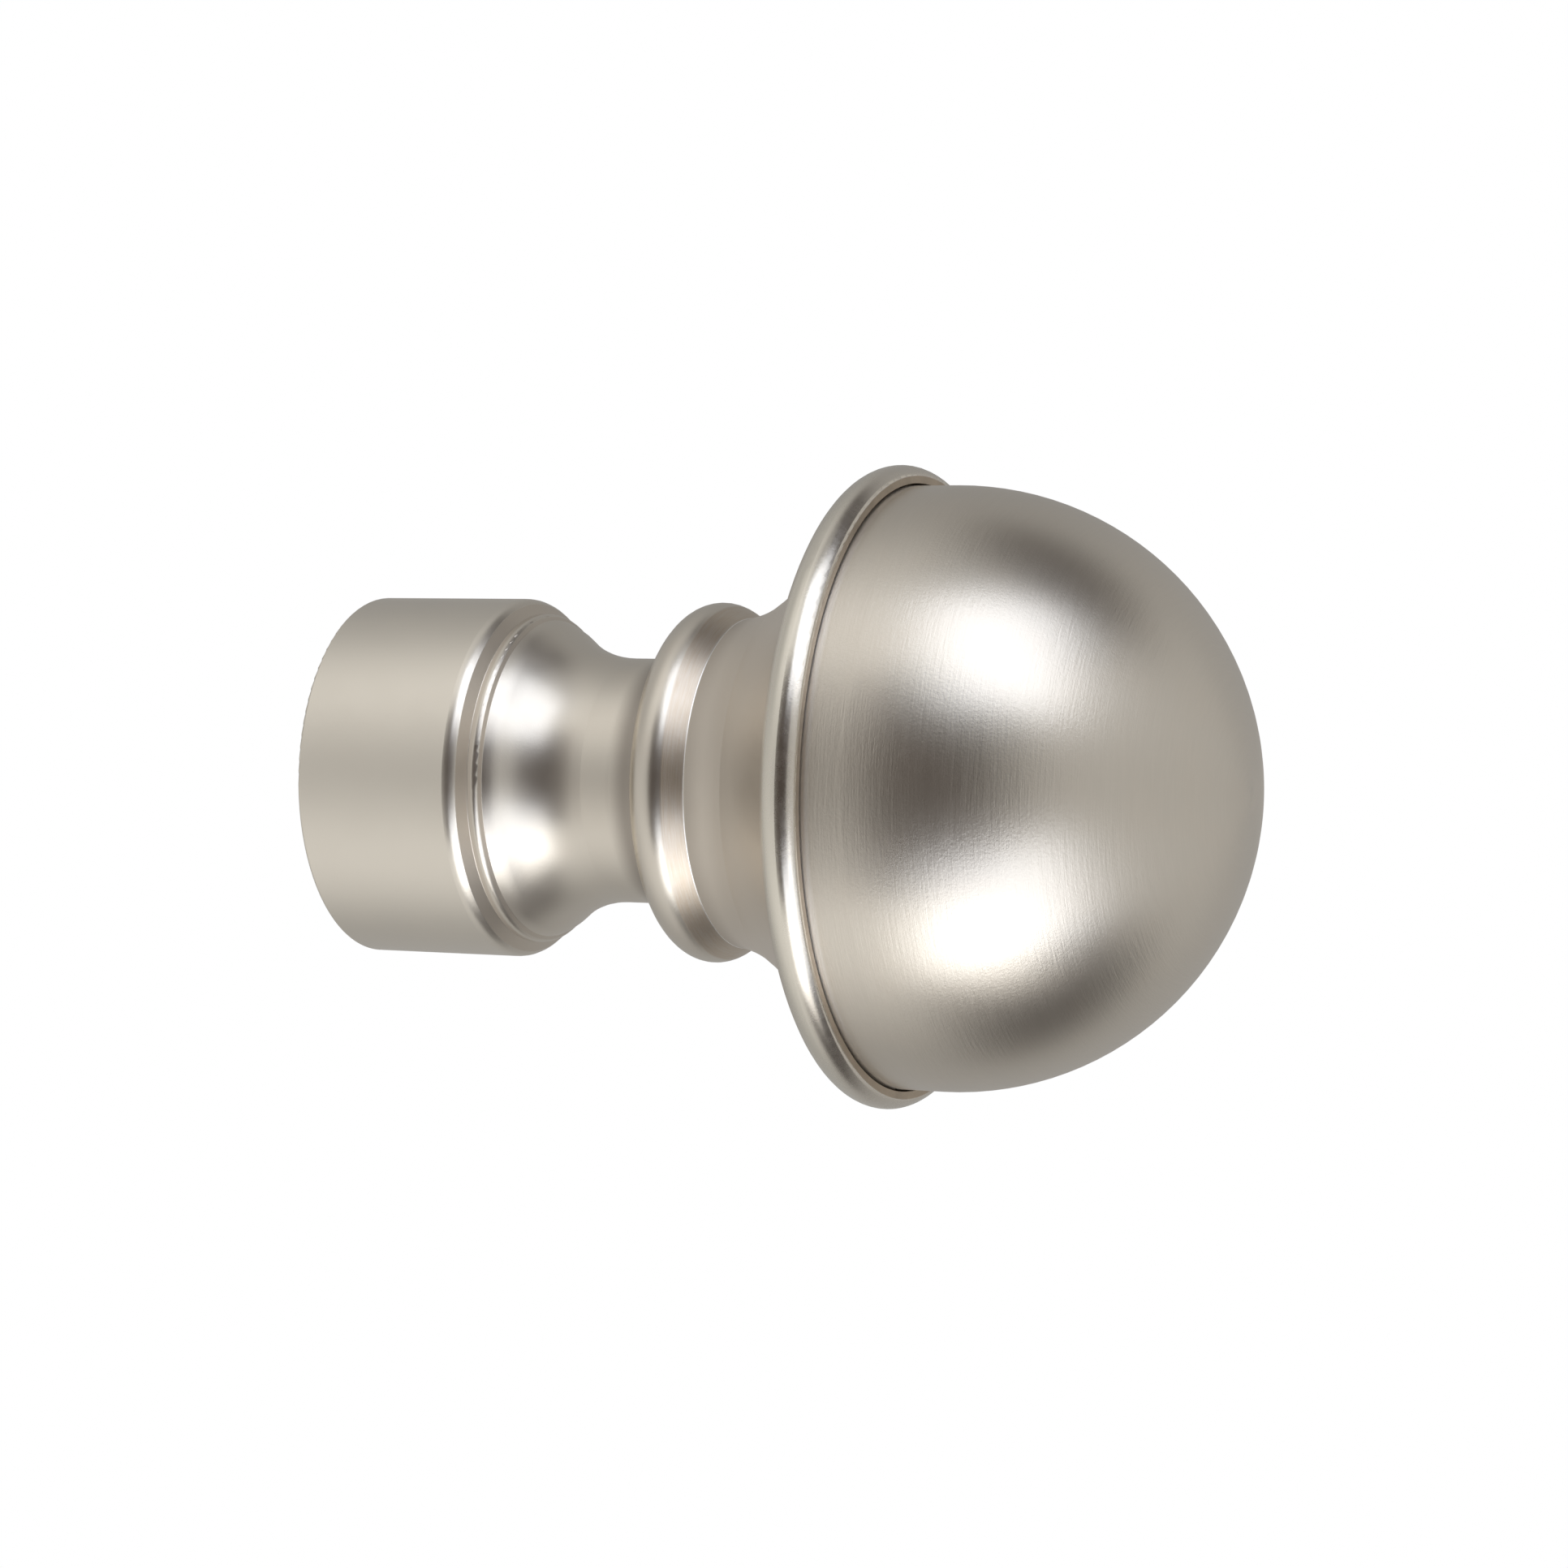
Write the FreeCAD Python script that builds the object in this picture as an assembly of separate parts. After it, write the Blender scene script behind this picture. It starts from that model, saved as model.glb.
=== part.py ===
"""Curtain pole finial for a 28 mm metal pole, in satin nickel.

A cored casting carries the pole socket, a stepped ring, a cove and neck, a half-round bead and a trumpet
flare that ends in a beaded rim. A drawn dome cap drops into the rim and seats on a shoulder inside it. A
grub screw in the side of the collar holds the finial on the pole.

Millimetres. The origin is the centre of the collar's mouth, +X runs along the axis towards the dome's tip,
and +Z is up. The grub screw is on +Y, the side that faces the wall.
"""
import FreeCAD
import Part
import math
import os

# Pole socket and collar
pole_diameter = 28.0
pole_clearance = 0.2
socket_depth = 13.5
socket_lead_in = 0.4
collar_wall = 1.8
collar_length = 14.26
collar_mouth_round = 0.3

# Stepped ring at the end of the collar
first_step_round = 1.5
first_step_turn = 45.0
first_face_edge = 0.25
first_face_slope = 53.0
first_face_length = 1.06
first_face_foot = 0.1
ring_land_length = 0.39
second_step_round = 0.6
second_face_slope = 52.0
second_face_length = 0.36
second_face_foot = 0.12

# Cove and neck
neck_depth = 5.2
neck_length = 2.67
cove_shoulder_slope = 22.0
cove_shoulder_round = 4.3
cove_slope = 42.0
neck_rise_radius = 14.0
neck_rise_slope = 12.0
neck_foot_fillet = 0.8

# Half-round bead with a coned flank towards the dome
bead_height = 4.98
bead_round = 2.4
bead_flank_slope = 32.0
bead_flank_length = 1.85

# Trumpet flare
flare_length = 14.17
flare_start_slope = 8.0
flare_throat_radius = 10.0
flare_throat_slope = 33.0

# Beaded rim
rim_wall = 1.56
rim_back_round = 2.0
rim_foot_turn = 120.0
rim_front_round = 1.8
rim_front_turn = 50.0
rim_edge_round = 0.45

# Seat for the dome cap, inside the rim
cap_clearance = 0.2
cap_seat_depth = 1.8

# Cored inside of the casting
cup_wall = 2.2
neck_wall = 2.6
socket_floor_thickness = 4.0
core_end_fillet = 1.5

# Dome cap
dome_diameter = 51.8
dome_wall = 1.0
dome_skirt_shown = 3.72

# Grub screw
screw_diameter = 4.0
screw_length = 3.0
screw_position = 6.8
screw_tip_recess = 0.1
screw_thread_clearance = 0.04
screw_point_diameter = 2.5
screw_end_chamfer = 0.35
screw_hex_across_flats = 2.0
screw_hex_depth = 1.5

# Radii that follow from the sizes above
socket_radius = pole_diameter / 2 + pole_clearance
collar_radius = socket_radius + collar_wall
neck_radius = collar_radius - neck_depth
bead_radius = neck_radius + bead_height
core_radius = neck_radius - neck_wall
dome_radius = dome_diameter / 2
register_radius = dome_radius + cap_clearance
rim_radius = register_radius + rim_wall

axis_direction = FreeCAD.Vector(1, 0, 0)


class SectionPen:
    """Draws a half section in the XZ plane, where X runs along the axis and Z is the radius.

    A slope is in degrees, and is how fast the radius falls along the axis: 0 is a cylinder, 90 is a face that
    looks towards the dome, and a negative slope rises towards the dome.
    """

    def __init__(self, x, radius):
        self.x = x
        self.radius = radius
        self.start = (x, radius)
        self.edges = []

    def line_to(self, x, radius):
        start = FreeCAD.Vector(self.x, 0, self.radius)
        end = FreeCAD.Vector(x, 0, radius)
        self.edges.append(Part.LineSegment(start, end).toShape())
        self.x = x
        self.radius = radius

    def slope_line(self, slope, length):
        angle = math.radians(slope)
        self.line_to(self.x + length * math.cos(angle), self.radius - length * math.sin(angle))

    def arc(self, arc_radius, slope_from, slope_to):
        """Turns from one slope to the other. A growing slope gives a round, a falling one a cove."""
        first = math.radians(slope_from)
        last = math.radians(slope_to)
        side = 1 if last > first else -1

        def point(angle):
            x = self.x + side * arc_radius * (math.sin(angle) - math.sin(first))
            radius = self.radius + side * arc_radius * (math.cos(angle) - math.cos(first))
            return FreeCAD.Vector(x, 0, radius)

        end = point(last)
        curve = Part.Arc(point(first), point((first + last) / 2), end)
        self.edges.append(curve.toShape())
        self.x = end.x
        self.radius = end.z

    def revolve(self):
        """Closes the section with a straight run and turns it about the axis."""
        self.line_to(*self.start)
        face = Part.Face(Part.Wire(self.edges))
        return face.revolve(FreeCAD.Vector(0, 0, 0), axis_direction, 360)


def draw_stepped_ring(pen):
    """Straight collar, then two rounded steps, each with a coned face below it, and a land between them."""
    pen.line_to(collar_length, collar_radius)
    pen.arc(first_step_round, 0, first_step_turn)
    pen.arc(first_face_edge, first_step_turn, first_face_slope)
    pen.slope_line(first_face_slope, first_face_length)
    pen.arc(first_face_foot, first_face_slope, 0)
    pen.line_to(pen.x + ring_land_length, pen.radius)
    pen.arc(second_step_round, 0, second_face_slope)
    pen.slope_line(second_face_slope, second_face_length)
    pen.arc(second_face_foot, second_face_slope, cove_shoulder_slope)


def draw_cove_and_neck(pen):
    """Rounded shoulder, cove down to the neck, and the neck's gentle rise to the foot of the bead."""
    pen.arc(cove_shoulder_round, cove_shoulder_slope, cove_slope)
    cove_radius = (pen.radius - neck_radius) / (1 - math.cos(math.radians(cove_slope)))
    pen.arc(cove_radius, cove_slope, 0)
    pen.line_to(pen.x + neck_length, neck_radius)
    pen.arc(neck_rise_radius, 0, -neck_rise_slope)
    pen.arc(neck_foot_fillet, -neck_rise_slope, -90)


def draw_bead(pen):
    """Half round from the neck, which runs out into a coned flank that ends in a crease."""
    pen.line_to(pen.x, bead_radius - bead_round)
    pen.arc(bead_round, -90, bead_flank_slope)
    pen.slope_line(bead_flank_slope, bead_flank_length)


def draw_flare(pen):
    """Tight arc off the bead, then a long arc to the foot of the rim. Returns the rim's place and the long
    arc as its start point, radius and slopes, because the cored cup follows it.
    """
    rim_position = pen.x + flare_length
    pen.arc(flare_throat_radius, -flare_start_slope, -flare_throat_slope)
    throat = (pen.x, pen.radius)

    foot_angle = math.radians(rim_foot_turn)
    foot_x = rim_position - rim_back_round * math.sin(foot_angle)
    foot_radius = rim_radius - rim_back_round * (1 - math.cos(foot_angle))
    run = foot_x - throat[0]
    rise = foot_radius - throat[1]
    mouth_slope = 2 * math.degrees(math.atan2(rise, run)) - flare_throat_slope
    half_turn = math.radians(abs(mouth_slope - flare_throat_slope) / 2)
    mouth_radius = math.hypot(run, rise) / (2 * math.sin(half_turn))
    pen.arc(mouth_radius, -flare_throat_slope, -mouth_slope)
    return rim_position, (throat, mouth_radius, mouth_slope)


def make_outside():
    """The casting's whole outline as a solid of revolution, up to the flat land of its rim."""
    pen = SectionPen(0, collar_radius - collar_mouth_round)
    pen.arc(collar_mouth_round, -90, 0)
    draw_stepped_ring(pen)
    draw_cove_and_neck(pen)
    draw_bead(pen)
    rim_position, flare_arc = draw_flare(pen)
    pen.arc(rim_back_round, -rim_foot_turn, 0)
    pen.arc(rim_front_round, 0, rim_front_turn)
    pen.arc(rim_edge_round, rim_front_turn, 90)
    land_position = pen.x
    pen.line_to(land_position, 0)
    pen.line_to(0, 0)
    return pen.revolve(), land_position, flare_arc


def make_pole_socket():
    """Blind bore for the pole, with a small lead-in at its mouth."""
    pen = SectionPen(0, 0)
    pen.line_to(0, socket_radius + socket_lead_in)
    pen.line_to(socket_lead_in, socket_radius)
    pen.line_to(socket_depth, socket_radius)
    pen.line_to(socket_depth, 0)
    return pen.revolve()


def make_core(land_position, flare_arc):
    """The cored hollow: a round core through the neck that opens into a cup of even wall under the flare."""
    throat, mouth_radius, mouth_slope = flare_arc
    slope = math.radians(flare_throat_slope)
    inner_throat_x = throat[0] + cup_wall * math.sin(slope)
    inner_throat_radius = throat[1] - cup_wall * math.cos(slope)
    core_end = socket_depth + socket_floor_thickness
    cone_length = (inner_throat_radius - core_radius) / math.tan(slope)

    pen = SectionPen(core_end, 0)
    pen.line_to(core_end, core_radius - core_end_fillet)
    pen.arc(core_end_fillet, -90, 0)
    pen.line_to(inner_throat_x - cone_length, core_radius)
    pen.line_to(inner_throat_x, inner_throat_radius)
    pen.arc(mouth_radius + cup_wall, -flare_throat_slope, -mouth_slope)
    pen.line_to(land_position, pen.radius)
    pen.line_to(land_position, 0)
    return pen.revolve()


def make_casting():
    """Outline less the socket, the core, the seat for the cap and the tapped hole for the grub screw."""
    outside, land_position, flare_arc = make_outside()
    seat_position = land_position - cap_seat_depth
    register = Part.makeCylinder(
        register_radius, cap_seat_depth, FreeCAD.Vector(seat_position, 0, 0), axis_direction
    )
    tapped_hole = Part.makeCylinder(
        screw_diameter / 2 + screw_thread_clearance,
        collar_radius + collar_wall,
        FreeCAD.Vector(screw_position, 0, 0),
        FreeCAD.Vector(0, 1, 0),
    )
    hollow = make_core(land_position, flare_arc).fuse(register).removeSplitter()
    casting = outside.cut([make_pole_socket(), hollow, tapped_hole])
    return casting, land_position


def make_dome_cap(land_position):
    """A hemisphere on a short straight skirt, drawn from sheet. Its cut edge sits on the shoulder."""
    inner_radius = dome_radius - dome_wall
    seat_position = land_position - cap_seat_depth
    dome_centre = land_position + dome_skirt_shown
    pen = SectionPen(seat_position, inner_radius)
    pen.line_to(seat_position, dome_radius)
    pen.line_to(dome_centre, dome_radius)
    pen.arc(dome_radius, 0, 90)
    pen.line_to(dome_centre + inner_radius, 0)
    pen.arc(inner_radius, -90, -180)
    return pen.revolve()


def make_grub_screw():
    """Hexagon socket set screw with a flat point, backed off so that the pole can enter the socket."""
    radius = screw_diameter / 2
    tip = socket_radius + screw_tip_recess
    head = tip + screw_length
    outward = FreeCAD.Vector(0, 1, 0)
    point_chamfer = (screw_diameter - screw_point_diameter) / 2
    shank_length = screw_length - point_chamfer - screw_end_chamfer

    def at(height):
        return FreeCAD.Vector(screw_position, height, 0)

    point = Part.makeCone(screw_point_diameter / 2, radius, point_chamfer, at(tip), outward)
    shank = Part.makeCylinder(radius, shank_length, at(tip + point_chamfer), outward)
    end = Part.makeCone(
        radius, radius - screw_end_chamfer, screw_end_chamfer, at(head - screw_end_chamfer), outward
    )
    hex_corner_radius = screw_hex_across_flats / 2 / math.cos(math.radians(30))
    corners = []
    for corner in range(7):
        angle = math.radians(60 * corner)
        offset = FreeCAD.Vector(hex_corner_radius * math.cos(angle), 0, hex_corner_radius * math.sin(angle))
        corners.append(at(head) + offset)
    hexagon = Part.Face(Part.makePolygon(corners))
    hex_socket = hexagon.extrude(FreeCAD.Vector(0, -screw_hex_depth, 0))
    return point.fuse([shank, end]).removeSplitter().cut(hex_socket)


def main():
    os.makedirs("parts", exist_ok=True)
    casting, land_position = make_casting()
    pieces = {
        "finial_body": casting,
        "dome_cap": make_dome_cap(land_position),
        "grub_screw": make_grub_screw(),
    }
    for name, shape in pieces.items():
        print(name, len(shape.Solids), "solid", "valid" if shape.isValid() else "not valid",
              round(shape.Volume), "mm3")
        shape.Solids[0].exportStep(os.path.join("parts", name + ".step"))


main()
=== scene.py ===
"""Blender scene for a curtain pole finial in satin nickel.

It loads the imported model, gives the casting and the dome cap their plated finishes, cuts the thread on the
grub screw, and lights the part in a pale tent with a wide lamp above it and another below. The scene is in
metres in the model's own frame: +X runs along the axis to the dome's tip, and +Z is up.
"""
import math
import bpy
from mathutils import Matrix, Quaternion, Vector


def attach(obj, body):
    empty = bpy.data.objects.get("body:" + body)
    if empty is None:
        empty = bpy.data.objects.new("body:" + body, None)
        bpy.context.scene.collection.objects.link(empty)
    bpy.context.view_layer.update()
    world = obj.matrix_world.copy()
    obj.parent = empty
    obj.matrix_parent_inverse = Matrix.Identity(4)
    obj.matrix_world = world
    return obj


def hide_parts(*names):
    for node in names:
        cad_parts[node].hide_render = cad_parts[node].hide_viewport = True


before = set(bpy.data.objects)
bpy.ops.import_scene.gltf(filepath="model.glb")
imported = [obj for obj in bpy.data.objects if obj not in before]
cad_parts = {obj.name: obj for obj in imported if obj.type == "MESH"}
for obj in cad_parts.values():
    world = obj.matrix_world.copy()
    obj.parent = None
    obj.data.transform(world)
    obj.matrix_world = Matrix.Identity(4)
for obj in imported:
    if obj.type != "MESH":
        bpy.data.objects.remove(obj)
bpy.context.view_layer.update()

scene = bpy.context.scene
scene.view_settings.view_transform = "Standard"
MM = 0.001

# Camera, as a long lens sees the finial from its dome side. Angles are in degrees, the lens in millimetres
CAMERA_TURN = 23.508
CAMERA_RISE = 3.398
CAMERA_DISTANCE = 355.11 * MM
CAMERA_TARGET = Vector((39.458, 0, 0.02)) * MM
CAMERA_LENS = 93.55
SENSOR_WIDTH = 36
NEAREST_SEEN = 10 * MM

# Places on the casting, in millimetres: from the collar's mouth along the axis, or outwards for a radius
COLLAR_END = 15.0
BEAD_CREASE = 36.45
RIM_START = 49.3
RIM_LAND = 52.10
RIM_LAND_OUTER_RADIUS = 26.76
REGISTER_START = 50.2
REGISTER_RADIUS = 26.10
SOCKET_FLOOR = 13.5
SOCKET_RADIUS = 14.2

# Stretches of the casting: where each starts and ends, and how far its two edges blur
RING_FIRST_FACE = (15.34, 16.40, 0.06)
RING_SECOND_FACE = (16.93, 17.17, 0.04)
COVE = (17.3, 25.0, 0.6)
BEAD_FLANK = (34.75, 36.42, 0.10)
FLARE = (BEAD_CREASE, RIM_START, 0.4)

# Fades on the casting: a finish is absent at the first place or radius, and whole at the second
COLLAR = (COLLAR_END + 0.4, COLLAR_END - 0.4)
# The neck's, the crease's and the rim's fades below place the painted shade in those corner spots
NECK_SHADE = (27.2, 29.3)
NECK_SHADE_END = (31.0, 30.1)
AFTER_BEAD = (BEAD_CREASE - 0.01, BEAD_CREASE + 0.02)
CREASE_SHADE = (38.6, 36.4)
RIM_SHADE = (46.5, 49.2)
RIM = (RIM_START - 0.4, RIM_START + 0.4)
# Painted light on the rim's back fades in from the first place to the second
BACK_OF_RIM = (51.5, 50.5)
LAND_FACE = (RIM_LAND - 0.035, RIM_LAND - 0.010)
LAND_OUTSIDE = (RIM_LAND_OUTER_RADIUS + 0.03, RIM_LAND_OUTER_RADIUS - 0.03)
BURR_FACE = (RIM_LAND - 0.06, RIM_LAND - 0.03)
REGISTER_END = (REGISTER_START - 0.3, REGISTER_START)
REGISTER_WALL = (REGISTER_RADIUS + 0.06, REGISTER_RADIUS + 0.01)
SOCKET_END = (SOCKET_FLOOR + 0.5, SOCKET_FLOOR + 0.2)
SOCKET_WALL = (SOCKET_RADIUS + 0.3, SOCKET_RADIUS + 0.1)

# How strong the painted shade is by the crease and by the rim, where the neck's corner is 1
CREASE_SHADE_SHARE = 0.45
RIM_SHADE_SHARE = 0.2

# Painted highlight lines on edges: half the width of each and how far its edges blur, in millimetres
CREASE_LINE = (0.045, 0.025)
BURR_LINE = (0.05, 0.03)
RING_LINE = (0.03, 0.03)

# Painted highlights on the stepped ring's edges by their places, and how strong each is. They break into
# specks, which are absent where a noise is at the first value and whole where it is at the second
RING_EDGES = {15.32: 1.0, 16.90: 0.3}
SPECK_EDGE = (0.50, 0.62)

# Strength of a speck of painted highlight, and of the land's burr highlight between specks and on them
SPECK_STRENGTH = 0.25
BURR_STRENGTH = (0.20, 0.45)

# Dome cap, in millimetres. The painted highlight on its edge is absent at its first place and whole at its
# second
DOME_CENTRE = 55.82
DOME_RADIUS = 25.9
DOME_EDGE_HIGHLIGHT = (52.95, 52.40)
DOME_EDGE_HIGHLIGHT_SHARE = 0.8

# Brushing of the dome. The quarter turn makes reflections blur across the rings of marks, not along them
BRUSHING = 0.45
BRUSHING_TURN = 0.25
STREAK_BRIGHTNESS = (0.988, 1.012)

# Grub screw, an M4 set screw with a flat point, in millimetres
SCREW_SIZES = {
    "Length": 3.0,
    "Diameter": 4.0,
    "Pitch": 0.7,
    "Thread Depth": 0.4,
    "Point Diameter": 2.5,
    "End Chamfer": 0.35,
    "Hex Across Flats": 2.0,
    "Hex Depth": 1.5,
    "Axial Position": 6.8,
    "Tip Height": 14.3,
}

# Thread form: where the root's flat ends and the crest's starts, on the way from the root's middle, at 0, to
# the crest's middle, at 1. Then the screw's facets, and the angle from which an edge is sharp
ROOT_FLAT_END = 0.2
CREST_FLAT_START = 0.85
SCREW_SIDES = 96
SCREW_RINGS = 150
HEX_SIDES = 6
SHARP_EDGE = math.radians(32)

# Colours of the plating and of the bare metal
SATIN_NICKEL = (0.690, 0.640, 0.553)
# Painted light: the collar's nickel is lighter than the rest, to brighten its reflection
LIT_COLLAR_NICKEL = (0.765, 0.716, 0.625)
WARM_NICKEL = (0.690, 0.622, 0.527)
DOME_NICKEL = (0.672, 0.620, 0.534)
BRUSHED_NICKEL = (0.575, 0.484, 0.374)
# Painted shade for the corner at the neck's foot, by the crease and by the rim
CORNER_SHADE_NICKEL = (0.390, 0.350, 0.300)
RING_NICKEL = (0.610, 0.545, 0.458)
FLARE_NICKEL = (0.675, 0.613, 0.527)
# Painted light: the back of the rim is lighter, to brighten its reflection of the wall on the left
LIT_RIM_NICKEL = (0.750, 0.706, 0.612)
BARE_LAND = (0.370, 0.312, 0.240)
# Painted highlight, for the lines on catching edges and for the dome's edge by the rim
PAINTED_HIGHLIGHT = (0.930, 0.905, 0.860)
# Bare cast metal inside the socket, and also the dark of the painted shade in the screw thread's roots
BARE_CAST_AND_SHADE = (0.360, 0.345, 0.325)
SCREW_STEEL = (0.560, 0.550, 0.540)

# Roughness where the noise that varies it is low and where it is high. What is smoother takes some off
CASTING_ROUGHNESS = (0.305, 0.335)
RIM_SMOOTHER = (-0.065, -0.050)
DOME_ROUGHNESS = (0.332, 0.348)
SCREW_ROUGHNESS = (0.34, 0.46)
CREST_SMOOTHER = -0.10

# How strongly painted shade darkens the colour at the thread's root and at its crest
THREAD_SHADE = (0.7, 0.1)

# Depth of each finish's relief, in millimetres, and how many times as deep the dome's marks and grain are
CASTING_RELIEF = 0.0045
DOME_RELIEF = 0.0064
SCREW_RELIEF = 0.001
DOME_MARK_DEPTH = 2.4
DOME_GRAIN_DEPTH = 2.0

# Stretches of a noise's values, which lie about 0.5, over which a finish changes
WIDE_NOISE = (0.3, 0.7)
CLOSE_NOISE = (0.35, 0.65)
CLOUD_NOISE = (0.35, 0.75)

# How far a thick cloud takes a nickel towards the warm one
CLOUD_WARMTH = 0.30

# Sines of a lean round the axis. Up to the second it comes from the mesh's flats, and from the first on it is
# a real one
REAL_LEAN = (0.15, 0.10)

# Light tent round the part, in metres. Each patch has its middle to the right of the camera and above it,
# half its width and half its height, all in degrees, then how soft its edge is, its level, where 1 is white,
# and its tint. A patch lies over the ones before it
TENT_RADIUS = 0.46
TENT_SIDES = 96
TENT_RINGS = 48
TENT_LEVEL = 0.421
CLOTH = (1.012, 1.002, 0.995)
DARK_OPENING = (1.13, 0.80, 0.63)
DARK_CORNER = (1.10, 0.98, 0.95)
TENT_PATCHES = {
    "left wing above": (-50.3, 53.1, 23.7, 31.7, 0.90, 1.000, CLOTH),
    "left wing below": (-3.9, -58.3, 79.4, 32.5, 0.90, 0.910, CLOTH),
    "camera opening": (-11.1, 0.8, 27.5, 39.1, 0.03, 0.047, DARK_OPENING),
    "dark corner above": (64.5, 64.1, 32.8, 25.4, 0.32, 0.090, DARK_CORNER),
    "dark corner below": (60.7, -62.9, 35.4, 29.1, 0.34, 0.069, DARK_CORNER),
    "bright strip on the right": (65.4, 0.0, 24.5, 20.6, 0.90, 0.830, CLOTH),
    "right wall": (71.2, 0.0, 46.0, 40.2, 0.20, 0.566, CLOTH),
    "pale wall behind on the left": (-131.0, 27.0, 24.0, 24.0, 0.90, 0.540, CLOTH),
    "dim wall behind": (180.0, 28.0, 28.0, 24.0, 0.70, 0.350, CLOTH),
    "spill above the upper lamp": (10.7, 78.0, 12.9, 13.5, 0.58, 0.419, CLOTH),
    "spill below the lower lamp": (11.5, -60.3, 20.0, 14.4, 0.33, 1.520, CLOTH),
}

# Lamps, inside the tent: middle to the right of the camera and above it, half width, half height and roll,
# all in degrees, then level
LAMP_DISTANCE = 0.38
LAMP_COLOUR = (0.935, 1.0, 1.15)
LAMPS = {
    "upper lamp": (20.6, 48.9, 22.4, 22.6, -15.1, 1.820),
    "lower lamp": (18.6, -41.8, 24.1, 21.7, 21.2, 1.500),
}

# Floor, under the tent, in metres. It is plain paint up to the nearer distance and white from the farther
FLOOR_HEIGHT = -0.50
FLOOR_SIZE = 40
FLOOR_FADE = (0.7, 1.3)
FLOOR_PAINT = (0.93, 0.93, 0.93)

# White behind the part, and the level at which the room lights what isn't seen against it
WHITE = (1.0, 1.0, 1.0)
ROOM_LEVEL = 0.75

# The Mix node's sockets for colours, by number, because it has several of each name
MIX_FACTOR = 0
MIX_FIRST = 6
MIX_SECOND = 7
MIX_RESULT = 2


def camera_axes():
    """Directions from the part to the camera, to the camera's right and upwards in its view."""
    turn = math.radians(CAMERA_TURN)
    rise = math.radians(CAMERA_RISE)
    back = Vector((math.sin(turn) * math.cos(rise), -math.cos(turn) * math.cos(rise), math.sin(rise)))
    right = Vector((math.cos(turn), math.sin(turn), 0))
    return back, right, back.cross(right)


def beside_camera(across, upward):
    """A direction from the part, in degrees to the right of the camera and above it."""
    back, right, up = camera_axes()
    across = math.radians(across)
    upward = math.radians(upward)
    level = back * math.cos(across) + right * math.sin(across)
    return level * math.cos(upward) + up * math.sin(upward)


def make_camera():
    """Camera at the photograph's viewing angle."""
    back = camera_axes()[0]
    camera = bpy.data.objects.new("camera", bpy.data.cameras.new("camera"))
    scene.collection.objects.link(camera)
    camera.location = CAMERA_TARGET + back * CAMERA_DISTANCE
    camera.rotation_mode = "QUATERNION"
    camera.rotation_quaternion = (-back).to_track_quat("-Z", "Y")
    camera.data.sensor_width = SENSOR_WIDTH
    camera.data.lens = CAMERA_LENS
    camera.data.clip_start = NEAREST_SEEN
    scene.camera = camera


class NodeBench:
    """Adds nodes to a tree. A value is a socket to link from, or a number or colour to set."""

    def __init__(self, tree):
        self.tree = tree

    def add(self, kind, inputs=None, **settings):
        node = self.tree.nodes.new(kind)
        for name, setting in settings.items():
            setattr(node, name, setting)
        for name, value in (inputs or {}).items():
            self.feed(node.inputs[name], value)
        return node

    def feed(self, socket, value):
        if isinstance(value, bpy.types.NodeSocket):
            self.tree.links.new(value, socket)
        else:
            socket.default_value = value

    def calc(self, operation, first, second=0.0, third=0.0):
        node = self.add("ShaderNodeMath", {0: first, 1: second, 2: third}, operation=operation)
        return node.outputs[0]

    def times(self, first, second):
        return self.calc("MULTIPLY", first, second)

    def larger(self, first, second):
        return self.calc("MAXIMUM", first, second)

    def vector(self, operation, first, second=(0, 0, 0)):
        node = self.add("ShaderNodeVectorMath", {0: first, 1: second}, operation=operation)
        return node.outputs["Value" if operation in ("DOT_PRODUCT", "LENGTH") else "Vector"]

    def scaled(self, vector, factor):
        node = self.add("ShaderNodeVectorMath", {0: vector, "Scale": factor}, operation="SCALE")
        return node.outputs["Vector"]

    def join(self, x=0.0, y=0.0, z=0.0):
        return self.add("ShaderNodeCombineXYZ", {0: x, 1: y, 2: z}).outputs[0]

    def split(self, vector):
        return self.add("ShaderNodeSeparateXYZ", {0: vector}).outputs

    def ease(self, value, low, high, at_low=0.0, at_high=1.0, shape="SMOOTHSTEP"):
        """Goes from one number to another while the value goes from low to high."""
        inputs = {"Value": value, "From Min": low, "From Max": high, "To Min": at_low, "To Max": at_high}
        return self.add("ShaderNodeMapRange", inputs, interpolation_type=shape).outputs["Result"]

    def band(self, value, low, high, blur):
        """1 where the value lies between low and high, and 0 outside, with edges twice the blur wide."""
        rise = self.ease(value, low - blur, low + blur)
        fall = self.ease(value, high + blur, high - blur)
        return self.times(rise, fall)

    def line(self, value, middle, half_width, blur):
        """1 on a line about a middle, and 0 outside it."""
        return self.band(value, middle - half_width, middle + half_width, blur)

    def tint(self, factor, first, second):
        """The first colour where the factor is 0, and the second where it is 1."""
        node = self.add("ShaderNodeMix", data_type="RGBA")
        self.feed(node.inputs[MIX_FACTOR], factor)
        self.feed(node.inputs[MIX_FIRST], rgba(first))
        self.feed(node.inputs[MIX_SECOND], rgba(second))
        return node.outputs[MIX_RESULT]

    def noise(self, vector, scale, detail=2.0, roughness=0.5):
        inputs = {"Vector": vector, "Scale": scale, "Detail": detail, "Roughness": roughness}
        return self.add("ShaderNodeTexNoise", inputs).outputs["Fac"]


def rgba(colour):
    """A plain colour gains its alpha. A socket stays as it is."""
    return colour if isinstance(colour, bpy.types.NodeSocket) else (*colour, 1.0)


def new_material(name):
    """A new material, and the bench for its nodes."""
    material = bpy.data.materials.new(name)
    material.use_nodes = True
    return material, NodeBench(material.node_tree)


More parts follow.
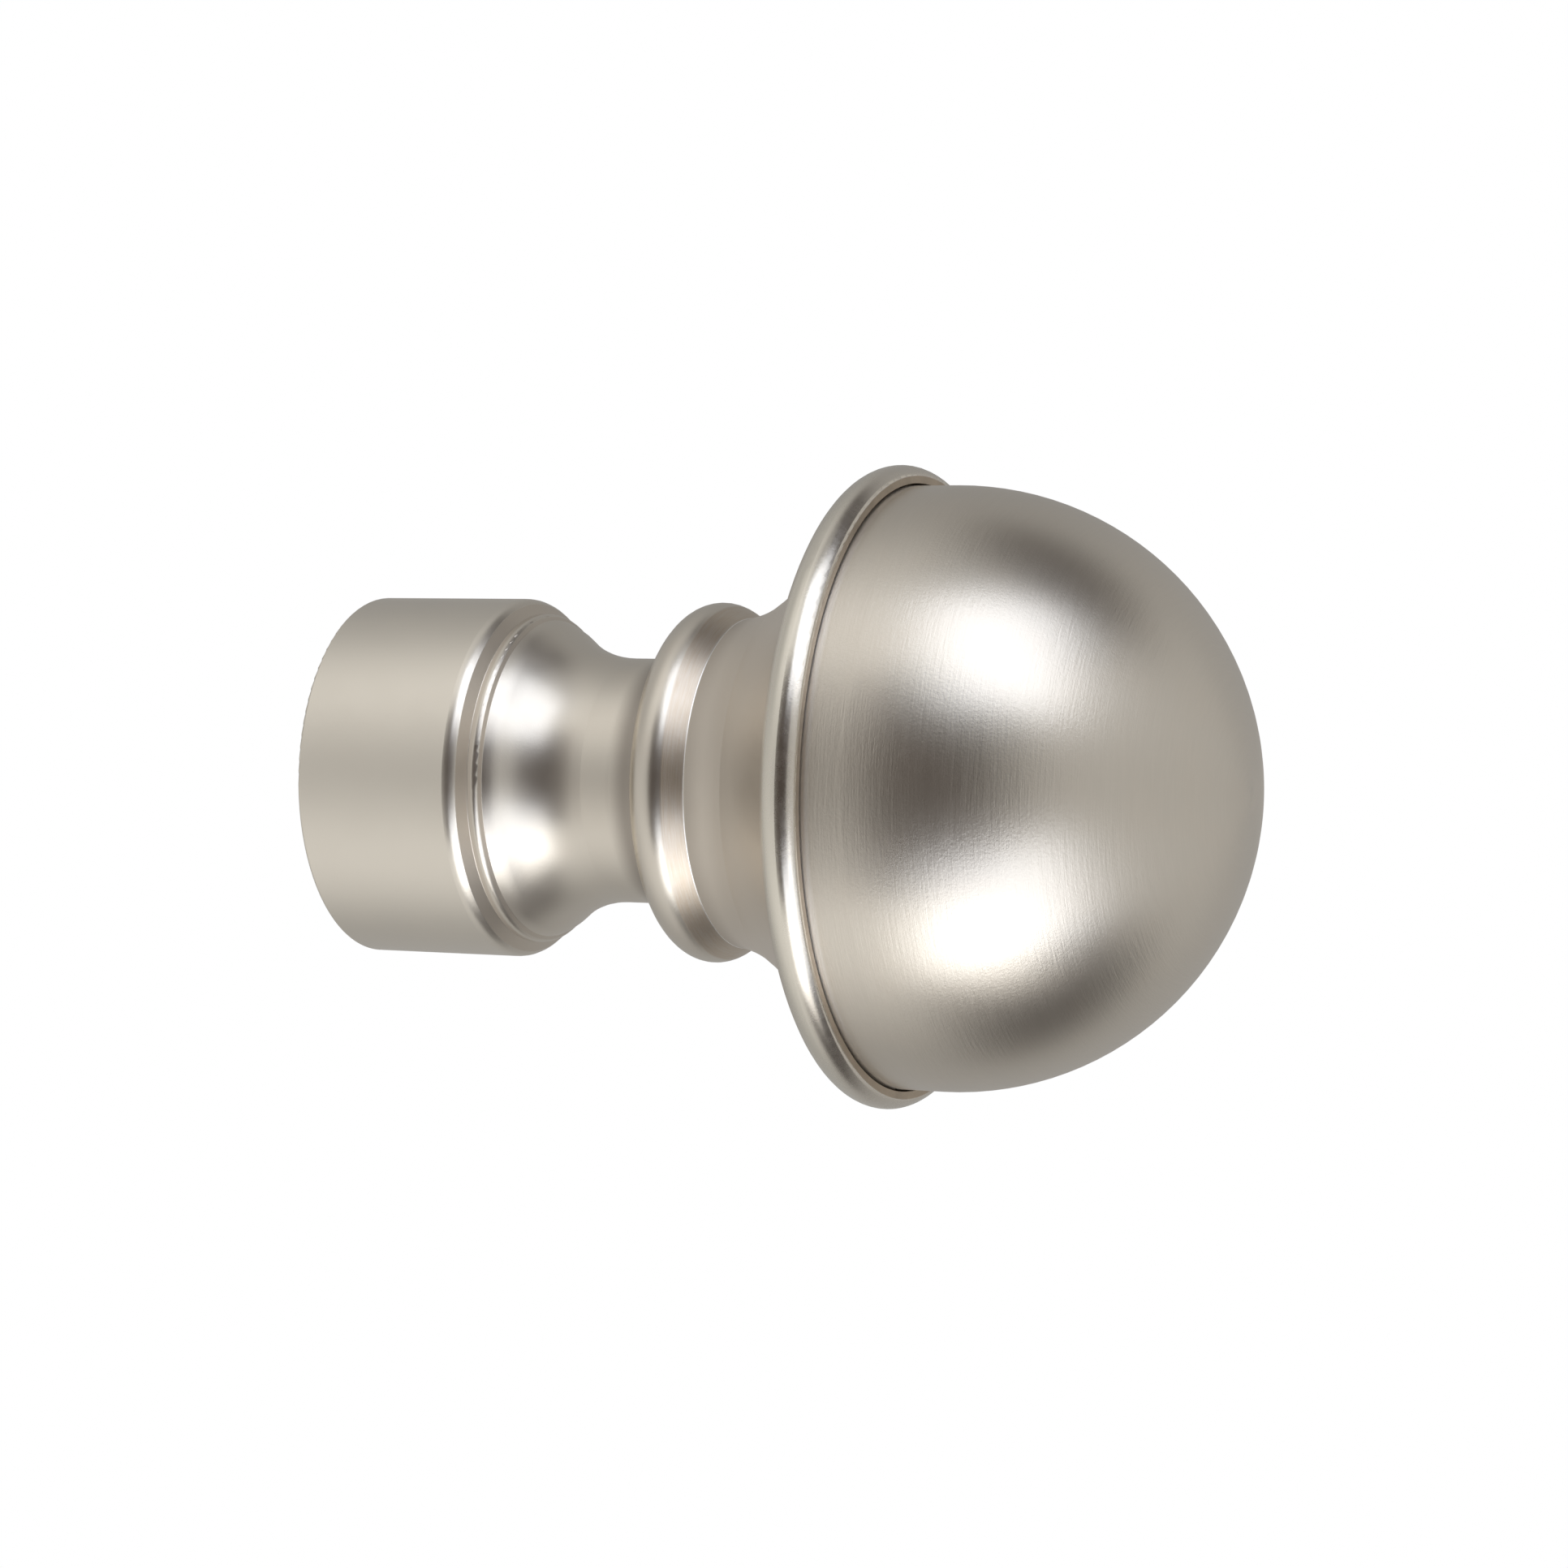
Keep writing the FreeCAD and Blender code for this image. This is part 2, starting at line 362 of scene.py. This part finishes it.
def surface_of(material):
    """The socket that takes the shader of a material's surface."""
    output = next(node for node in material.node_tree.nodes if node.type == "OUTPUT_MATERIAL")
    return output.inputs["Surface"]


def start_finish(name):
    """A new material, its bench, and the place on the part in millimetres."""
    material, bench = new_material(name)
    coordinates = bench.add("ShaderNodeTexCoord").outputs["Object"]
    return material, bench, bench.scaled(coordinates, 1 / MM)


def along_and_out(bench, place):
    """How far a place is from the collar's mouth along the axis, and how far out from the axis."""
    along, depth, height = bench.split(place)
    return along, bench.vector("LENGTH", bench.join(0.0, depth, height))


def round_axis(bench, place):
    """The direction round the axis at a place."""
    sides = bench.split(place)
    return bench.vector("NORMALIZE", bench.join(0.0, bench.times(sides[2], -1.0), sides[1]))


def turned_marks(bench, place, across_marks, spacing, spread):
    """Fine lines round the axis: noise that varies quickly across them and slowly round the part."""
    sides = bench.split(place)
    vector = bench.join(
        bench.calc("DIVIDE", across_marks, spacing),
        bench.times(sides[1], spread),
        bench.times(sides[2], spread),
    )
    return bench.noise(vector, scale=1.0, detail=3.0, roughness=0.65)


def warm_in_clouds(bench, clouds, nickel):
    """A nickel that is a little warmer where the clouds are thick."""
    return bench.tint(bench.ease(clouds, *CLOUD_NOISE, 0.0, CLOUD_WARMTH), nickel, WARM_NICKEL)


def straight_out(bench, place):
    """Where the surface faces, without the slight lean round the axis that comes from the mesh's flats.
    A lean of more than about nine degrees is a real one, as in the screw's hole, and stays.
    """
    normal = bench.add("ShaderNodeNewGeometry").outputs["Normal"]
    around = round_axis(bench, place)
    lean = bench.vector("DOT_PRODUCT", normal, around)
    slight = bench.ease(bench.calc("ABSOLUTE", lean), *REAL_LEAN)
    undo = bench.times(bench.times(lean, slight), -1.0)
    return bench.vector("NORMALIZE", bench.vector("ADD", normal, bench.scaled(around, undo)))


def set_plating(material, bench, colour, roughness, height, relief, facing=None):
    """Metal of the given colour and roughness, with a relief in millimetres under its plating."""
    shader = material.node_tree.nodes["Principled BSDF"]
    shader.inputs["Metallic"].default_value = 1.0
    bench.feed(shader.inputs["Base Color"], colour)
    bench.feed(shader.inputs["Roughness"], roughness)
    bump = bench.add("ShaderNodeBump", {"Strength": 1.0, "Distance": relief * MM, "Height": height})
    if facing:
        bench.feed(bump.inputs["Normal"], facing)
    bench.feed(shader.inputs["Normal"], bump.outputs["Normal"])
    return shader


def painted_edge_highlights(bench, place, along, radius):
    """Painted highlight lines on edges that catch the light: whole on the bead's crease, faint and uneven
    on the outer edge of the rim's land, and broken into specks on the stepped ring.
    """
    patchy = bench.noise(place, scale=5.0, detail=3.0, roughness=0.7)
    specks = bench.ease(patchy, *SPECK_EDGE, 0.0, SPECK_STRENGTH)
    lines = bench.line(along, BEAD_CREASE, *CREASE_LINE)
    for edge, glint_share in RING_EDGES.items():
        glints = bench.times(specks, glint_share)
        lines = bench.larger(lines, bench.times(bench.line(along, edge, *RING_LINE), glints))
    burr = bench.line(radius, RIM_LAND_OUTER_RADIUS, *BURR_LINE)
    burr = bench.times(burr, bench.ease(along, *BURR_FACE))
    burr = bench.times(burr, bench.ease(specks, 0.0, SPECK_STRENGTH, *BURR_STRENGTH))
    return bench.larger(lines, burr)


def casting_places(bench, place, along, radius):
    """Masks of the places where the casting's finish differs, each up to 1 there and 0 elsewhere."""
    rim = bench.ease(along, *RIM)
    # Painted shade in the corner at the neck's foot, by the bead's crease and by the rim
    neck_shade_mask = bench.times(bench.ease(along, *NECK_SHADE), bench.ease(along, *NECK_SHADE_END))
    crease_shade_mask = bench.times(bench.ease(along, *CREASE_SHADE), bench.ease(along, *AFTER_BEAD))
    rim_shade_mask = bench.calc("SUBTRACT", bench.ease(along, *RIM_SHADE), rim)
    corner_shade = bench.larger(neck_shade_mask, bench.times(crease_shade_mask, CREASE_SHADE_SHARE))
    corner_shade = bench.larger(corner_shade, bench.times(rim_shade_mask, RIM_SHADE_SHARE))
    land = bench.times(bench.ease(along, *LAND_FACE), bench.ease(radius, *LAND_OUTSIDE))
    register = bench.times(bench.ease(radius, *REGISTER_WALL), bench.ease(along, *REGISTER_END))
    return {
        "collar": bench.ease(along, *COLLAR),
        "ring": bench.larger(bench.band(along, *RING_FIRST_FACE), bench.band(along, *RING_SECOND_FACE)),
        "cove": bench.band(along, *COVE),
        "bead's flank": bench.band(along, *BEAD_FLANK),
        "flare": bench.band(along, *FLARE),
        "rim": rim,
        "lit back of the rim": bench.times(rim, bench.ease(along, *BACK_OF_RIM)),
        "corner_shade": corner_shade,
        "bare metal": bench.larger(land, register),
        "socket": bench.times(bench.ease(radius, *SOCKET_WALL), bench.ease(along, *SOCKET_END)),
        "edge highlights": painted_edge_highlights(bench, place, along, radius),
    }


def make_casting_finish():
    """Satin nickel on the casting, brushed on the bead's flank, rougher and darkened by painted shade
    where the neck meets the bead and by the crease and the rim, and bare and rough on the rim's flat land.
    """
    material, bench, place = start_finish("satin nickel casting")
    along, radius = along_and_out(bench, place)
    clouds = bench.noise(place, scale=0.35, detail=3.0)
    blotches = bench.noise(place, scale=1.4, detail=3.0, roughness=0.6)
    grain = bench.noise(place, scale=5.0, detail=3.0, roughness=0.65)
    marks = turned_marks(bench, place, along, spacing=0.09, spread=0.35)
    places = casting_places(bench, place, along, radius)

    brushed = bench.tint(bench.ease(marks, *WIDE_NOISE), BRUSHED_NICKEL, RING_NICKEL)
    scraped = bench.tint(marks, BARE_LAND, BRUSHED_NICKEL)
    # Each coat covers the ones before it, wholly at 1
    coats = (
        # Painted light: the collar is lighter than the rest of the casting
        ("collar", LIT_COLLAR_NICKEL, 0.8),
        ("flare", FLARE_NICKEL, 0.8),
        # Painted light on the back of the rim
        ("lit back of the rim", LIT_RIM_NICKEL, 1.0),
        # Painted shade in the corner at the neck's foot, by the crease and by the rim
        ("corner_shade", CORNER_SHADE_NICKEL, 1.0),
        ("bead's flank", brushed, 1.0),
        ("ring", RING_NICKEL, 0.8),
        ("bare metal", scraped, 1.0),
        ("socket", BARE_CAST_AND_SHADE, 1.0),
        # Painted highlight lines on the crease, the ring's edges and the land's burr
        ("edge highlights", PAINTED_HIGHLIGHT, 1.0),
    )
    colour = warm_in_clouds(bench, clouds, SATIN_NICKEL)
    for name, coat, cover in coats:
        colour = bench.tint(bench.times(places[name], cover), colour, coat)

    # How much rougher each place is than the rest. Below 0 it is smoother
    rougher = {
        "flare": 0.09,
        "cove": 0.035,
        "rim": bench.ease(blotches, *CLOSE_NOISE, *RIM_SMOOTHER),
        "corner_shade": 0.08,
        "ring": 0.04,
        "bead's flank": 0.045,
        "bare metal": 0.30,
        "socket": 0.30,
        "edge highlights": -0.10,
    }
    roughness = bench.ease(clouds, *WIDE_NOISE, *CASTING_ROUGHNESS)
    for name, step in rougher.items():
        roughness = bench.calc("MULTIPLY_ADD", places[name], step, roughness)

    # Texture of each rough place, and its depth, where the grain's is 1
    textures = (("bead's flank", marks, 2.2), ("bare metal", marks, 2.0), ("socket", blotches, 9.0))
    height = grain
    for name, texture, depth in textures:
        height = bench.calc("MULTIPLY_ADD", texture, bench.times(places[name], depth), height)
    set_plating(material, bench, colour, roughness, height, CASTING_RELIEF, straight_out(bench, place))
    return material


def make_dome_finish():
    """Satin nickel brushed round the axis, so its fine marks are rings about the dome's tip."""
    material, bench, place = start_finish("brushed nickel dome")
    along, radius = along_and_out(bench, place)
    from_tip = bench.calc("ARCTAN2", radius, bench.calc("SUBTRACT", along, DOME_CENTRE))
    arc = bench.times(from_tip, DOME_RADIUS)
    fine = turned_marks(bench, place, arc, spacing=0.20, spread=0.28)
    broad = turned_marks(bench, place, arc, spacing=0.60, spread=0.10)
    clouds = bench.noise(place, scale=0.25, detail=3.0)
    grain = bench.noise(place, scale=4.2, detail=4.0, roughness=0.7)

    # Painted highlight on the dome's edge by the rim
    dome_edge_highlight = bench.times(bench.ease(along, *DOME_EDGE_HIGHLIGHT), DOME_EDGE_HIGHLIGHT_SHARE)
    colour = bench.tint(dome_edge_highlight, warm_in_clouds(bench, clouds, DOME_NICKEL), PAINTED_HIGHLIGHT)
    streaks = bench.ease(fine, *CLOSE_NOISE, *STREAK_BRIGHTNESS, shape="LINEAR")
    colour = bench.scaled(colour, streaks)
    both_marks = bench.times(bench.calc("ADD", fine, broad), 0.5)
    roughness = bench.ease(both_marks, *CLOSE_NOISE, *DOME_ROUGHNESS)
    height = bench.calc("MULTIPLY_ADD", fine, DOME_MARK_DEPTH, bench.times(grain, DOME_GRAIN_DEPTH))
    shader = set_plating(material, bench, colour, roughness, height, DOME_RELIEF, straight_out(bench, place))
    shader.inputs["Anisotropic"].default_value = BRUSHING
    shader.inputs["Anisotropic Rotation"].default_value = BRUSHING_TURN
    bench.feed(shader.inputs["Tangent"], round_axis(bench, place))
    return material


def make_screw_finish():
    """Nickel plated steel, darkened by painted shade down in the thread's roots, and smoother on its crests.
    """
    material, bench, place = start_finish("plated steel screw")
    grain = bench.noise(place, scale=6.0, detail=3.0)
    sides = bench.split(place)
    off_axis = bench.calc("SUBTRACT", sides[0], SCREW_SIZES["Axial Position"])
    from_middle = bench.vector("LENGTH", bench.join(off_axis, 0.0, sides[2]))
    crest_radius = SCREW_SIZES["Diameter"] / 2
    crest = bench.ease(from_middle, crest_radius - SCREW_SIZES["Thread Depth"], crest_radius)
    # Painted shade darkens the thread towards its roots
    colour = bench.tint(bench.ease(crest, 0.0, 1.0, *THREAD_SHADE), SCREW_STEEL, BARE_CAST_AND_SHADE)
    roughness = bench.ease(grain, *WIDE_NOISE, *SCREW_ROUGHNESS)
    roughness = bench.calc("MULTIPLY_ADD", crest, CREST_SMOOTHER, roughness)
    set_plating(material, bench, colour, roughness, grain, SCREW_RELIEF)
    return material


def dress(node_name, finish):
    """Gives a node of the model its finish, in place of the one that it came with."""
    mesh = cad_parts[node_name].data
    mesh.materials.clear()
    mesh.materials.append(finish)


def threaded_bar(bench, size, radius, half_length):
    """A bar along Z whose skin follows the thread, and narrows to the flat point and to the chamfered end."""
    bar = bench.add("GeometryNodeMeshCylinder", {
        "Vertices": SCREW_SIDES,
        "Side Segments": SCREW_RINGS,
        "Radius": radius,
        "Depth": size["Length"],
    }, fill_type="NGON")
    x, y, z = bench.split(bench.add("GeometryNodeInputPosition").outputs[0])
    angle = bench.calc("ARCTAN2", y, x)
    pitches = bench.calc("DIVIDE", z, size["Pitch"])
    turns = bench.calc("SUBTRACT", pitches, bench.calc("DIVIDE", angle, math.tau))
    from_root = bench.calc("ABSOLUTE", bench.calc("MULTIPLY_ADD", bench.calc("FRACT", turns), 2.0, -1.0))
    cut = bench.ease(from_root, ROOT_FLAT_END, CREST_FLAT_START, 1.0, 0.0, shape="LINEAR")
    thread = bench.calc("SUBTRACT", radius, bench.times(cut, size["Thread Depth"]))
    from_tip = bench.calc("ADD", z, half_length)
    from_head = bench.calc("SUBTRACT", half_length, z)
    point = bench.calc("MULTIPLY_ADD", size["Point Diameter"], 0.5, from_tip)
    end = bench.calc("ADD", bench.calc("SUBTRACT", radius, size["End Chamfer"]), from_head)
    skin = bench.calc("MINIMUM", thread, bench.calc("MINIMUM", point, end))
    skin_place = bench.join(
        bench.times(skin, bench.calc("COSINE", angle)),
        bench.times(skin, bench.calc("SINE", angle)),
        z,
    )
    threaded = bench.add("GeometryNodeSetPosition", {"Geometry": bar.outputs["Mesh"], "Position": skin_place})
    return threaded.outputs[0]


def hexagon_key(bench, size, half_length):
    """A hexagonal bar about the screw's outer end, as long as the socket is deep on either side of it."""
    corner_radius = bench.times(size["Hex Across Flats"], 0.5 / math.cos(math.radians(30)))
    key = bench.add("GeometryNodeMeshCylinder", {
        "Vertices": HEX_SIDES,
        "Radius": corner_radius,
        "Depth": bench.times(size["Hex Depth"], 2.0),
    }, fill_type="NGON")
    placed = bench.add("GeometryNodeTransform", {
        "Geometry": key.outputs["Mesh"],
        "Translation": bench.join(z=half_length),
    })
    return placed.outputs[0]


def make_screw_tree(finish):
    """Set screw with a flat point: a bar whose skin follows the thread, with a hexagon socket cut in it."""
    tree = bpy.data.node_groups.new("hexagon socket set screw", "GeometryNodeTree")
    tree.interface.new_socket("Geometry", in_out="OUTPUT", socket_type="NodeSocketGeometry")
    for name in SCREW_SIZES:
        tree.interface.new_socket(name, in_out="INPUT", socket_type="NodeSocketFloat")
    bench = NodeBench(tree)
    size = bench.add("NodeGroupInput").outputs
    radius = bench.times(size["Diameter"], 0.5)
    half_length = bench.times(size["Length"], 0.5)
    screw = bench.add("GeometryNodeMeshBoolean", {
        "Mesh 1": threaded_bar(bench, size, radius, half_length),
        "Mesh 2": hexagon_key(bench, size, half_length),
    }, operation="DIFFERENCE", solver="EXACT")

    smooth = bench.add("GeometryNodeSetShadeSmooth", {
        "Geometry": screw.outputs["Mesh"],
        "Shade Smooth": True,
    }, domain="FACE")
    edge_angle = bench.add("GeometryNodeInputMeshEdgeAngle").outputs["Unsigned Angle"]
    creased = bench.add("GeometryNodeSetShadeSmooth", {
        "Geometry": smooth.outputs[0],
        "Selection": bench.calc("GREATER_THAN", edge_angle, SHARP_EDGE),
        "Shade Smooth": False,
    }, domain="EDGE")
    # The screw is made upright, and its upper end turns to face the wall
    placed = bench.add("GeometryNodeTransform", {
        "Geometry": creased.outputs[0],
        "Translation": bench.join(size["Axial Position"], bench.calc("ADD", size["Tip Height"], half_length)),
        "Rotation": (math.radians(-90), 0, 0),
    })
    real = bench.add("GeometryNodeRealizeInstances", {"Geometry": placed.outputs[0]})
    plated = bench.add("GeometryNodeSetMaterial", {"Geometry": real.outputs[0], "Material": finish})
    bench.feed(bench.add("NodeGroupOutput").inputs[0], plated.outputs[0])
    return tree


def make_threaded_screw(finish):
    """The grub screw with its real thread, in place of the model's plain one."""
    tree = make_screw_tree(finish)
    screw = bpy.data.objects.new("threaded_screw", bpy.data.meshes.new("threaded_screw"))
    scene.collection.objects.link(screw)
    modifier = screw.modifiers.new("thread", "NODES")
    modifier.node_group = tree
    for item in tree.interface.items_tree:
        if item.in_out == "INPUT":
            modifier[item.identifier] = SCREW_SIZES[item.name] * MM
    evaluated = screw.evaluated_get(bpy.context.evaluated_depsgraph_get())
    mesh = bpy.data.meshes.new_from_object(evaluated)
    screw.modifiers.clear()
    screw.data = mesh
    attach(screw, "root")
    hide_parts("grub_screw")


def seen_directly(bench):
    """1 for what the camera, a reflection or a view through glass sees, and 0 for light on other things."""
    path = bench.add("ShaderNodeLightPath").outputs
    seen = bench.larger(path["Is Camera Ray"], path["Is Glossy Ray"])
    return bench.larger(seen, path["Is Transmission Ray"])


def make_floor():
    """Wide pale floor. Near the part it takes the lamps' light and shadows, and far off it reads white."""
    bpy.ops.mesh.primitive_plane_add(size=FLOOR_SIZE, location=(0, 0, 0))
    floor = bpy.context.object
    floor.name = "floor"
    floor.data.transform(Matrix.Translation((0, 0, FLOOR_HEIGHT)))
    material, bench = new_material("white floor")
    coordinates = bench.add("ShaderNodeTexCoord").outputs["Object"]
    far = bench.ease(bench.vector("LENGTH", coordinates), *FLOOR_FADE)
    paint = bench.add("ShaderNodeBsdfDiffuse", {"Color": rgba(FLOOR_PAINT)})
    white = bench.add("ShaderNodeEmission", {"Color": rgba(WHITE), "Strength": 1.0})
    mix = bench.add("ShaderNodeMixShader", {
        0: bench.times(far, seen_directly(bench)),
        1: paint.outputs[0],
        2: white.outputs[0],
    })
    bench.feed(surface_of(material), mix.outputs[0])
    floor.data.materials.append(material)


def make_world():
    """White behind everything that the camera or a reflection sees, and a plain level of light besides."""
    world = bpy.data.worlds.new("studio")
    world.use_nodes = True
    scene.world = world
    bench = NodeBench(world.node_tree)
    background = world.node_tree.nodes["Background"]
    background.inputs["Color"].default_value = rgba(WHITE)
    bench.feed(background.inputs["Strength"], bench.ease(seen_directly(bench), 0.0, 1.0, ROOM_LEVEL, 1.0))


def patch_in_tent(bench, place, across, upward, half_width, half_height, softness):
    """Mask of a soft-edged patch of the tent, centred in a direction and sized in degrees."""
    centre = beside_camera(across, upward)
    side = beside_camera(across + 90, 0)
    top = centre.cross(side)
    forward, sideward, topward = (
        bench.vector("DOT_PRODUCT", place, tuple(direction)) for direction in (centre, side, top))
    turn = bench.calc("ARCTAN2", sideward, forward)
    rise = bench.calc("ARCSINE", bench.calc("DIVIDE", topward, bench.vector("LENGTH", place)))
    within = []
    for angle, half_size in ((turn, half_width), (rise, half_height)):
        share = bench.calc("DIVIDE", bench.calc("ABSOLUTE", angle), math.radians(half_size))
        within.append(bench.ease(share, 1 + softness, 1 - softness))
    return bench.times(*within)


def make_tent():
    """Pale cloth all round the part, as it sees it in its own polish: darker openings, brighter wings."""
    bpy.ops.mesh.primitive_uv_sphere_add(segments=TENT_SIDES, ring_count=TENT_RINGS, radius=TENT_RADIUS)
    tent = bpy.context.object
    tent.name = "tent"
    material, bench = new_material("tent cloth")
    place = bench.add("ShaderNodeTexCoord").outputs["Object"]
    light = tuple(TENT_LEVEL * part for part in CLOTH)
    for *patch, level, tint in TENT_PATCHES.values():
        mask = patch_in_tent(bench, place, *patch)
        light = bench.tint(mask, light, tuple(level * part for part in tint))
    emission = bench.add("ShaderNodeEmission", {"Color": light, "Strength": 1.0})
    bench.feed(surface_of(material), emission.outputs[0])
    material.cycles.emission_sampling = "NONE"
    tent.data.materials.append(material)
    tent.location = CAMERA_TARGET
    tent.visible_camera = False
    tent.visible_diffuse = False
    tent.visible_shadow = False


def make_lamp(name, across, upward, half_width, half_height, roll, level):
    """Rectangular soft lamp that faces the part. Its level is 1 where it looks as bright as white paper."""
    direction = beside_camera(across, upward)
    lamp = bpy.data.lights.new(name, "AREA")
    lamp.shape = "RECTANGLE"
    lamp.size = 2 * LAMP_DISTANCE * math.tan(math.radians(half_width))
    lamp.size_y = 2 * LAMP_DISTANCE * math.tan(math.radians(half_height))
    lamp.energy = level * math.pi * lamp.size * lamp.size_y
    lamp.color = LAMP_COLOUR
    holder = bpy.data.objects.new(name, lamp)
    scene.collection.objects.link(holder)
    holder.location = CAMERA_TARGET + direction * LAMP_DISTANCE
    holder.rotation_mode = "QUATERNION"
    facing = (-direction).to_track_quat("-Z", "Y")
    holder.rotation_quaternion = facing @ Quaternion((0, 0, 1), math.radians(roll))
    holder.visible_camera = False


def main():
    make_camera()
    dress("finial_body", make_casting_finish())
    dress("dome_cap", make_dome_finish())
    screw_finish = make_screw_finish()
    dress("grub_screw", screw_finish)
    make_threaded_screw(screw_finish)
    make_world()
    make_floor()
    make_tent()
    for name, settings in LAMPS.items():
        make_lamp(name, *settings)


main()
